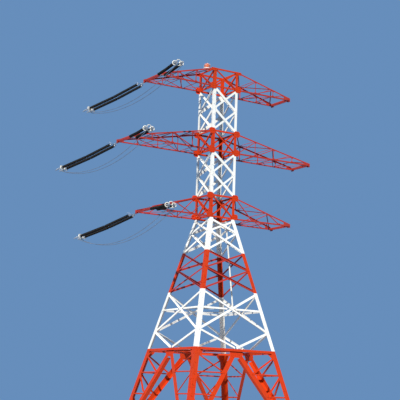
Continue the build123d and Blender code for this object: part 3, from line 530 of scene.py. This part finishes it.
# ---------------------------------------------------------------- arms
WEBS = {
    "top": [("l", 0.333, "u", 0.333), ("l", 0.666, "u", 0.666), ("l", 0.02, "u", 0.333),
            ("l", 0.333, "u", 0.666), ("l", 0.666, "u", 0.86)],
    "middle": [("l", 0.25, "u", 0.25), ("l", 0.5, "u", 0.5), ("l", 0.75, "u", 0.75),
               ("l", 0.02, "u", 0.25), ("l", 0.25, "u", 0.5), ("l", 0.5, "u", 0.75)],
    "bottom": [("u", 0.02, "l", 0.32), ("l", 0.32, "u", 0.6), ("u", 0.6, "l", 0.8)],
}
arm_plates, arm_bolts = Shape(), Shape()
for level, (upper, lower_z, tip, width) in ARMS.items():
    x0, y0 = A_TOP + 0.016, A_TOP - 0.016
    beta = math.atan2(width - A_TOP, tip - A_TOP)
    run = (tip - x0) / math.cos(beta)
    nose = lower_z + 0.080
    joints = {}
    for a, f, b, g in WEBS[level]:
        for e, h, o, oh in ((a, f, b, g), (b, g, a, f)):
            joints.setdefault((e, h), []).append((o, oh))

    def side_point(e, h):
        z = lower_z if e == "l" else upper + h * (nose - upper)
        return h * run, z

    slope_u = math.atan2(nose - upper, run)
    for sx in (-1, 1):
        for sy in (-1, 1):
            out = Vector((-sx * math.sin(beta), sy * math.cos(beta), 0))
            along = Vector((sx * math.cos(beta), sy * math.sin(beta), 0))
            start = Vector((sx * x0, sy * y0, 0))
            for (e, h), others in joints.items():
                s0, z0 = side_point(e, h)
                tilt = slope_u if e == "u" else 0.0
                ex = along * math.cos(tilt) + Vector((0, 0, math.sin(tilt)))
                ez = Vector((0, 0, math.cos(tilt))) - along * math.sin(tilt)
                c = start + along * s0 + Vector((0, 0, z0))
                sign = 1 if e == "l" else -1
                wide = 0.15 if len(others) > 1 else 0.10
                if 0.05 < h < 0.97:
                    outline = [(-wide, -0.040), (wide, -0.040), (wide, 0.045),
                               (wide * 0.55, 0.105), (-wide * 0.55, 0.105), (-wide, 0.045)]
                    pts = [c + ex * px + ez * (py * sign) for px, py in outline]
                    arm_plates.prism(pts, out, 0.008)
                    for px in (-wide * 0.6, 0.0, wide * 0.6):
                        arm_bolts.bolt(c + ex * px + out * 0.008, out, 0.016, 0.013)
                    for px in (-wide * 0.3, wide * 0.3):
                        arm_bolts.bolt(c + ex * px + ez * (0.075 * sign) + out * 0.008, out,
                                       0.016, 0.013)
            for h in (0.94, 0.965, 0.988):
                for z in (lower_z - 0.01, lower_z + 0.085):
                    c = start + along * (h * run) + Vector((0, 0, z))
                    arm_bolts.bolt(c, out, 0.016, 0.013)
    # bolts of the tip beam plates
    for sx in (-1, 1):
        for sy in (-1, 1):
            for y in (width - 0.10, width - 0.20, width - 0.30):
                for z in (lower_z - 0.02, lower_z + 0.04):
                    arm_bolts.bolt((sx * tip, sy * y, z), Vector((sx, 0, 0)), 0.018, 0.015)
# the arm joint plates and bolts take the darker red copy, which is painted shade
arm_plates.make("arm_joint_plates", RED_PAINTED_SHADE, "red_paint_deep")
arm_bolts.make("arm_bolts", RED_PAINTED_SHADE, "red_paint_deep")

# ---------------------------------------------------------------- base
feet = Shape()
foot_ribs = Shape()
F = half(0.0) - 0.120
for sx in (-1, 1):
    for sy in (-1, 1):
        for dx in (-0.25, 0.25):
            for dy in (-0.25, 0.25):
                p = Vector((sx * F + dx, sy * F + dy, 0.031))
                feet.rod(p, p + Vector((0, 0, 0.004)), 0.036, 14, smooth=False)
                feet.rod(p + Vector((0, 0, 0.004)), p + Vector((0, 0, 0.034)), 0.029, 6,
                         smooth=False)
                feet.rod(p + Vector((0, 0, 0.034)), p + Vector((0, 0, 0.064)), 0.029, 6,
                         smooth=False)
                feet.rod(p + Vector((0, 0, -0.03)), p + Vector((0, 0, 0.115)), 0.0175, 12)
        # ribs between the leg's flanges and the plate
        a = half(0.030)
        for off in (0.12, 0.22, 0.32):
            for swap in (0, 1):
                foot = [(0.004, 0.0), (0.150, 0.0), (0.150, 0.03), (0.03, 0.24), (0.004, 0.24)]
                pts = []
                for d, h in foot:
                    lean = FLARE * h
                    x, y = a - off - lean, a + d - lean
                    if swap:
                        x, y = y, x
                    pts.append(Vector((sx * x, sy * y, 0.0305 + h)))
                n = Vector((sx, 0, 0)) if not swap else Vector((0, sy, 0))
                foot_ribs.prism(pts, n, 0.014)
feet.make("anchor_bolts", ZINC, "galvanised_steel")
foot_ribs.make("foot_ribs", RED, "red_paint")

red_bolts.make("red_bolts", RED, "red_paint")
white_bolts.make("white_bolts", WHITE, "white_paint")
red_plates.make("red_leg_splices", RED, "red_paint")
white_plates.make("white_leg_splices", WHITE, "white_paint")


# ---------------------------------------------------------------- insulator strings
def heading(turn, droop, side):
    t, f = math.radians(turn), math.radians(droop)
    return Vector((-math.sin(t) * math.cos(f), side * math.cos(t) * math.cos(f),
                   -math.sin(f)))


def shed_profile(length, neck, last):
    """long rod with alternating large and small sheds between its two end necks"""
    count = int((length - neck - last) / 0.050)
    pitch = (length - neck - last) / count
    pts = [(0.046, neck - 0.008)]
    for i in range(count):
        s = neck + i * pitch
        big = 0.110 if i % 2 == 0 else 0.072
        pts += [(0.044, s), (big * 0.66, s + 0.008), (big, s + 0.019), (big, s + 0.025),
                (big * 0.62, s + 0.028), (0.045, s + 0.034)]
    pts.append((0.046, length - last + 0.008))
    return pts


for side_name, side, (turning, droop1, droop2) in (("far", 1, FAR), ("near", -1, NEAR)):
    sheds, caps, horns, pale = Shape(), Shape(), Shape(), Shape()
    for level, (upper, lower_z, tip, width) in ARMS.items():
        lug = Vector((-(tip - 0.056), side * width, lower_z - 0.120))
        d1, d2 = heading(turning, droop1, side), heading(turning, droop2, side)
        mid = (d1 + d2).normalized()
        across = d1.cross(Vector((0, 0, 1))).normalized()
        up1, up2 = across.cross(d1), across.cross(d2)
        first = lug + d1 * LINK
        knee = first + d1 * ROD
        second = knee + mid * JOINT
        end = second + d2 * ROD
        for x in (-ROD_GAP / 2, ROD_GAP / 2):
            first_a, second_a = first + across * x, second + across * x
            for a, d in ((first_a, d1), (second_a, d2)):
                necks = (0.095, 0.010) if a is first_a else (0.010, 0.095)
                sheds.lathe(a, d, shed_profile(ROD, *necks), 20)
                low = [(0.042, 0.004), (0.062, 0.010), (0.066, 0.034), (0.063, 0.086),
                       (0.056, 0.098)]
                high = [(r, ROD - t) for r, t in reversed(low)]
                caps.lathe(a, d, low if a is first_a else high, 16)
            sheds.rod(knee + across * x - mid * 0.004, second + across * x + mid * 0.004,
                      0.072, 18)
        # arcing horns at the tower end, bent up and towards the line
        for x in (-ROD_GAP / 2, ROD_GAP / 2):
            base = lug + d1 * 0.32 + across * (x * 1.12)
            path = [base, base + up1 * 0.10 + across * (0.05 if x > 0 else -0.05),
                    base + up1 * 0.17 + across * (0.10 if x > 0 else -0.10) + d1 * 0.10,
                    base + up1 * 0.18 + across * (0.12 if x > 0 else -0.12) + d1 * 0.30]
            for a, b in zip(path, path[1:]):
                horns.rod(a, b, 0.0085, 8)
        # nuts on the yokes and on the shackle pin
        for p, n in ((lug + up1 * 0.052, up1), (lug - up1 * 0.052, -up1)):
            horns.bolt(p, n, 0.030, 0.020)
        for x in (-0.24, 0.0, 0.24):
            for base, uu in ((lug + d1 * (0.24 + (0.085 if x else 0.035)), up1),
                             (end + d2 * (0.05 + 0.055), up2)):
                for sgn in (-1, 1):
                    horns.bolt(base + across * x + uu * (0.010 * sgn), uu * sgn, 0.020, 0.016)
        # ring brackets and clamp bolts
        for x in (-0.24, 0.24):
            inner = end + across * (x - math.copysign(RING_R, x)) + d2 * 0.040
            for sgn in (-1, 1):
                horns.bolt(inner + up2 * (0.008 * sgn), up2 * sgn, 0.011, 0.009)
        # shielding horns at the line end: a loop above the yoke and one below it
        for sgn, rise in ((1, 0.235), (-1, 0.200)):
            loop = [end + across * (x * 0.105) + up2 * (sgn * (0.010 + (rise - 0.010) * h))
                    + d2 * (0.095 + t)
                    for x, h, t in ((-1.0, 0.0, 0.0), (-1.25, 0.42, 0.01), (-1.1, 0.82, 0.03),
                                    (-0.45, 1.0, 0.05), (0.45, 1.0, 0.05), (1.1, 0.82, 0.03),
                                    (1.25, 0.42, 0.01), (1.0, 0.0, 0.0))]
            for a, b in zip(loop, loop[1:]):
                pale.rod(a, b, 0.026, 12)
            for p in loop[1:-1]:
                pale.lathe(p - across * 0.026, across,
                           [(0.004, 0.0), (0.018, 0.007), (0.0262, 0.026), (0.018, 0.045),
                            (0.004, 0.052)], 12)
        for x in (-0.225, 0.225):
            for s in (0.20, 0.28, 0.36, 0.44, 0.52):
                c = end + d2 * s + across * x
                horns.box(c + up2 * 0.046, across * 0.030, up2 * 0.016, d2 * 0.024)
                horns.bolt(c + up2 * 0.062, up2, 0.015, 0.012)
            horns.lathe(end + d2 * 0.556 + across * x, d2,
                        [(0.048, 0.0), (0.052, 0.008), (0.052, 0.026), (0.048, 0.034)], 16)
    obj = sheds.make(side_name + "_insulator_sheds", GLAZE, "insulator_glaze")
    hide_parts(side_name + "_insulators")
    caps.make(side_name + "_insulator_caps", ZINC, "galvanised_steel")
    horns.make(side_name + "_string_hardware", ZINC, "galvanised_steel")
    pale.make(side_name + "_line_end_horns", RING, "ring_aluminium")

# ---------------------------------------------------------------- jumpers
ROUTES = {
    "top_jumper_a": [
        (-8.252, 6.202, 26.133), (-8.218, 6.117, 26.058), (-8.202, 5.632, 25.952),
        (-8.185, 5.146, 25.858), (-8.169, 4.66, 25.775), (-8.153, 4.175, 25.703),
        (-8.136, 3.689, 25.642), (-8.12, 3.203, 25.593), (-8.103, 2.718, 25.555),
        (-8.087, 2.232, 25.528), (-8.071, 1.746, 25.512), (-8.054, 1.261, 25.508),
        (-8.038, 0.775, 25.515), (-8.022, 0.289, 25.533), (-8.005, -0.196, 25.562),
        (-7.989, -0.682, 25.603), (-7.972, -1.168, 25.654), (-7.956, -1.653, 25.718),
        (-7.94, -2.139, 25.792), (-7.923, -2.625, 25.877), (-7.907, -3.11, 25.974),
        (-7.891, -3.596, 26.082), (-7.874, -4.082, 26.201), (-7.858, -4.567, 26.332),
        (-7.841, -5.053, 26.474), (-7.825, -5.538, 26.627), (-7.809, -6.024, 26.791),
        (-7.792, -6.51, 26.966), (-7.815, -6.586, 27.055),
    ],
    "top_jumper_b": [
        (-7.835, 6.371, 26.133), (-7.801, 6.287, 26.058), (-7.784, 5.79, 25.952),
        (-7.767, 5.292, 25.858), (-7.75, 4.795, 25.775), (-7.733, 4.298, 25.703),
        (-7.716, 3.801, 25.642), (-7.699, 3.304, 25.593), (-7.683, 2.807, 25.555),
        (-7.666, 2.31, 25.528), (-7.649, 1.813, 25.512), (-7.632, 1.316, 25.508),
        (-7.615, 0.819, 25.515), (-7.598, 0.322, 25.533), (-7.581, -0.175, 25.562),
        (-7.564, -0.673, 25.603), (-7.547, -1.17, 25.654), (-7.53, -1.667, 25.718),
        (-7.513, -2.164, 25.792), (-7.496, -2.661, 25.877), (-7.479, -3.158, 25.974),
        (-7.462, -3.655, 26.082), (-7.446, -4.152, 26.201), (-7.429, -4.649, 26.332),
        (-7.412, -5.146, 26.474), (-7.395, -5.643, 26.627), (-7.378, -6.141, 26.791),
        (-7.361, -6.638, 26.966), (-7.383, -6.713, 27.055),
    ],
    "middle_jumper_a": [
        (-10.377, 6.145, 21.069), (-10.343, 6.06, 20.994), (-10.327, 5.579, 20.874),
        (-10.31, 5.098, 20.766), (-10.294, 4.617, 20.67), (-10.278, 4.135, 20.587),
        (-10.261, 3.654, 20.516), (-10.245, 3.173, 20.458), (-10.228, 2.691, 20.412),
        (-10.212, 2.21, 20.379), (-10.196, 1.729, 20.358), (-10.179, 1.248, 20.349),
        (-10.163, 0.766, 20.353), (-10.147, 0.285, 20.369), (-10.13, -0.196, 20.398),
        (-10.114, -0.678, 20.439), (-10.097, -1.159, 20.493), (-10.081, -1.64, 20.559),
        (-10.065, -2.121, 20.637), (-10.048, -2.603, 20.728), (-10.032, -3.084, 20.831),
        (-10.016, -3.565, 20.947), (-9.999, -4.046, 21.075), (-9.983, -4.528, 21.216),
        (-9.966, -5.009, 21.369), (-9.95, -5.49, 21.534), (-9.934, -5.972, 21.712),
        (-9.917, -6.453, 21.902), (-9.94, -6.529, 21.991),
    ],
    "middle_jumper_b": [
        (-9.96, 6.314, 21.069), (-9.926, 6.23, 20.994), (-9.909, 5.737, 20.874),
        (-9.892, 5.244, 20.766), (-9.875, 4.752, 20.67), (-9.858, 4.259, 20.587),
        (-9.841, 3.766, 20.516), (-9.824, 3.273, 20.458), (-9.808, 2.781, 20.412),
        (-9.791, 2.288, 20.379), (-9.774, 1.795, 20.358), (-9.757, 1.303, 20.349),
        (-9.74, 0.81, 20.353), (-9.723, 0.317, 20.369), (-9.706, -0.175, 20.398),
        (-9.689, -0.668, 20.439), (-9.672, -1.161, 20.493), (-9.655, -1.654, 20.559),
        (-9.638, -2.146, 20.637), (-9.621, -2.639, 20.728), (-9.604, -3.132, 20.831),
        (-9.587, -3.624, 20.947), (-9.571, -4.117, 21.075), (-9.554, -4.61, 21.216),
        (-9.537, -5.103, 21.369), (-9.52, -5.595, 21.534), (-9.503, -6.088, 21.712),
        (-9.486, -6.581, 21.902), (-9.508, -6.656, 21.991),
    ],
    "bottom_jumper_a": [
        (-8.461, 6.255, 15.911), (-8.427, 6.17, 15.836), (-8.411, 5.681, 15.693),
        (-8.394, 5.191, 15.565), (-8.378, 4.701, 15.451), (-8.362, 4.211, 15.351),
        (-8.345, 3.722, 15.265), (-8.329, 3.232, 15.193), (-8.312, 2.742, 15.136),
        (-8.296, 2.252, 15.093), (-8.28, 1.763, 15.064), (-8.263, 1.273, 15.049),
        (-8.247, 0.783, 15.049), (-8.231, 0.294, 15.062), (-8.214, -0.196, 15.09),
        (-8.198, -0.686, 15.132), (-8.181, -1.176, 15.188), (-8.165, -1.665, 15.259),
        (-8.149, -2.155, 15.343), (-8.132, -2.645, 15.442), (-8.116, -3.135, 15.555),
        (-8.1, -3.624, 15.683), (-8.083, -4.114, 15.824), (-8.067, -4.604, 15.98),
        (-8.05, -5.094, 16.15), (-8.034, -5.583, 16.334), (-8.018, -6.073, 16.532),
        (-8.001, -6.563, 16.744), (-8.024, -6.639, 16.833),
    ],
    "bottom_jumper_b": [
        (-8.044, 6.424, 15.911), (-8.01, 6.34, 15.836), (-7.993, 5.838, 15.693),
        (-7.976, 5.337, 15.565), (-7.959, 4.836, 15.451), (-7.942, 4.335, 15.351),
        (-7.925, 3.834, 15.265), (-7.908, 3.333, 15.193), (-7.892, 2.832, 15.136),
        (-7.875, 2.33, 15.093), (-7.858, 1.829, 15.064), (-7.841, 1.328, 15.049),
        (-7.824, 0.827, 15.049), (-7.807, 0.326, 15.062), (-7.79, -0.175, 15.09),
        (-7.773, -0.677, 15.132), (-7.756, -1.178, 15.188), (-7.739, -1.679, 15.259),
        (-7.722, -2.18, 15.343), (-7.705, -2.681, 15.442), (-7.688, -3.182, 15.555),
        (-7.671, -3.684, 15.683), (-7.655, -4.185, 15.824), (-7.638, -4.686, 15.98),
        (-7.621, -5.187, 16.15), (-7.604, -5.688, 16.334), (-7.587, -6.189, 16.532),
        (-7.57, -6.691, 16.744), (-7.592, -6.766, 16.833),
    ],
}
for name, route in ROUTES.items():
    curve = bpy.data.curves.new(name + "_conductor", "CURVE")
    curve.dimensions = "3D"
    curve.bevel_depth = 0.018
    curve.bevel_resolution = 3
    curve.resolution_u = 3
    curve.use_fill_caps = True
    spline = curve.splines.new("NURBS")
    spline.points.add(len(route) - 1)
    for point, p in zip(spline.points, route):
        point.co = (*p, 1.0)
    spline.order_u = 3
    spline.use_endpoint_u = True
    curve.materials.append(STRAND)
    cord = bpy.data.objects.new(name + "_conductor", curve)
    scene.collection.objects.link(cord)
    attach(cord, "root")
    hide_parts(name)

# ---------------------------------------------------------------- lamp cage
cage = Shape()
cx, cy, cz = -A_TOP + 0.050, 0.090, Z_TOP + 0.228
for i in range(6):
    t = 2 * math.pi * (i + 0.5) / 6
    out = Vector((math.cos(t), math.sin(t), 0))
    base = Vector((cx, cy, cz))
    path = [base + out * 0.242, base + out * 0.256 + Vector((0, 0, 0.09)),
            base + out * 0.250 + Vector((0, 0, 0.23)), base + out * 0.190 + Vector((0, 0, 0.335)),
            base + out * 0.015 + Vector((0, 0, 0.385))]
    for a, b in zip(path, path[1:]):
        cage.rod(a, b, 0.0065, 8)
for h, r in ((0.09, 0.258), (0.23, 0.252)):
    ring = [Vector((cx + r * math.cos(2 * math.pi * i / 24),
                    cy + r * math.sin(2 * math.pi * i / 24), cz + h)) for i in range(24)]
    for a, b in zip(ring, ring[1:] + ring[:1]):
        cage.rod(a, b, 0.0065, 8, caps=False)
cage.rod((cx, cy, cz + 0.362), (cx, cy, cz + 0.394), 0.050, 14)
for dx in (-0.08, 0.08):
    for dy in (-0.12, 0.12):
        cage.bolt((cx + dx, cy + dy, Z_TOP + 0.016), Vector((0, 0, 1)), 0.012, 0.010)
cage.make("lamp_cage", LAMP_WHITE, "lamp_white")

# ---------------------------------------------------------------- pipe brackets
brackets = Shape()


def pipe(z):
    """centre line of the pipe inside the +X face"""
    return Vector((half(z) - 0.216 * SLOPE, -0.257 + 0.165 * (17.540 - z), z))


for lower, hi, lo, red in shaft:
    if not lower:
        continue
    for u1, z1, u2, z2 in cross(hi, lo, G_LOW):
        # where the bar crosses the pipe: u1 + m (z1 - z) = -0.257 + 0.165 (17.54 - z)
        m = (u2 - u1) / (z1 - z2)
        z = (u1 + m * z1 + 0.257 - 0.165 * 17.540) / (m - 0.165)
        if not (max(z2, 10.75) < z < min(z1, 17.45)):
            continue
        c = pipe(z)
        n = Vector((1, 0, FLARE)) / SLOPE
        side = Vector((0, 1, 0))
        along = n.cross(side)
        brackets.box(c + n * 0.114, n * 0.054, side * 0.030, along * 0.004)
        brackets.lathe(c - along * 0.02, along, [(0.064, 0.0), (0.067, 0.002), (0.067, 0.038),
                                                 (0.064, 0.040)], 16)
brackets.make("pipe_brackets", ZINC, "galvanised_steel")

# ---------------------------------------------------------------- step bolts
steps = {True: Shape(), False: Shape()}
for i in range(66):
    z = 2.9 + 0.40 * i
    if z > Z_TOP - 0.4 or any(lo - 0.05 < z < hi + 0.05 for lo, hi in GUSSETS):
        continue
    if Z_BELT - 0.75 < z < Z_BELT + 0.05:
        continue
    low = z < Z_WAIST
    for k in (0, 2):
        # alternately on the two flanges of the near and of the far leg
        face_k, sgn = (k, -1) if i % 2 else ((k - 1) % 4, 1)
        p, n = on_face(face_k, low, sgn * (half(z) - 0.060), z)
        shape = steps[colour_at(z)]
        shape.rod(p - n * 0.004, p + n * 0.150, 0.0095, 8)
        shape.rod(p + n * 0.150, p + n * 0.160, 0.017, 8, smooth=False)
        shape.rod(p, p + n * 0.014, 0.018, 6, smooth=False)
steps[True].make("step_bolts_red", RED, "red_paint")
steps[False].make("step_bolts_white", WHITE, "white_paint")

# ---------------------------------------------------------------- floor and light
disc = [(18.0 * math.cos(2 * math.pi * i / 96), 18.0 * math.sin(2 * math.pi * i / 96), -0.001)
        for i in range(96)]
floor_mesh = bpy.data.meshes.new("floor")
floor_mesh.from_pydata(disc, [], [tuple(range(96))])
floor = bpy.data.objects.new("floor", floor_mesh)
scene.collection.objects.link(floor)
FLOOR, nt, nodes, links, bsdf = new_material("floor_pale")
bsdf.inputs["Base Color"].default_value = (0.50, 0.50, 0.49, 1)
bsdf.inputs["Roughness"].default_value = 0.9
floor.data.materials.append(FLOOR)

world = bpy.data.worlds.new("studio")
scene.world = world
world.use_nodes = True
back = world.node_tree.nodes["Background"]
back.inputs["Color"].default_value = (0.135, 0.270, 0.50, 1)
back.inputs["Strength"].default_value = 1.0


def sun(name, direction, strength, angle, colour=(1, 1, 1)):
    data = bpy.data.lights.new(name, "SUN")
    data.energy = strength
    data.angle = math.radians(angle)
    data.color = colour
    obj = bpy.data.objects.new(name, data)
    obj.rotation_euler = Vector(direction).to_track_quat("Z", "Y").to_euler()
    scene.collection.objects.link(obj)


sun("key", (-0.580, -0.605, 0.545), 5.7, 1.2, (1.0, 0.965, 0.90))
scene.view_settings.view_transform = "Standard"
scene.view_settings.look = "None"
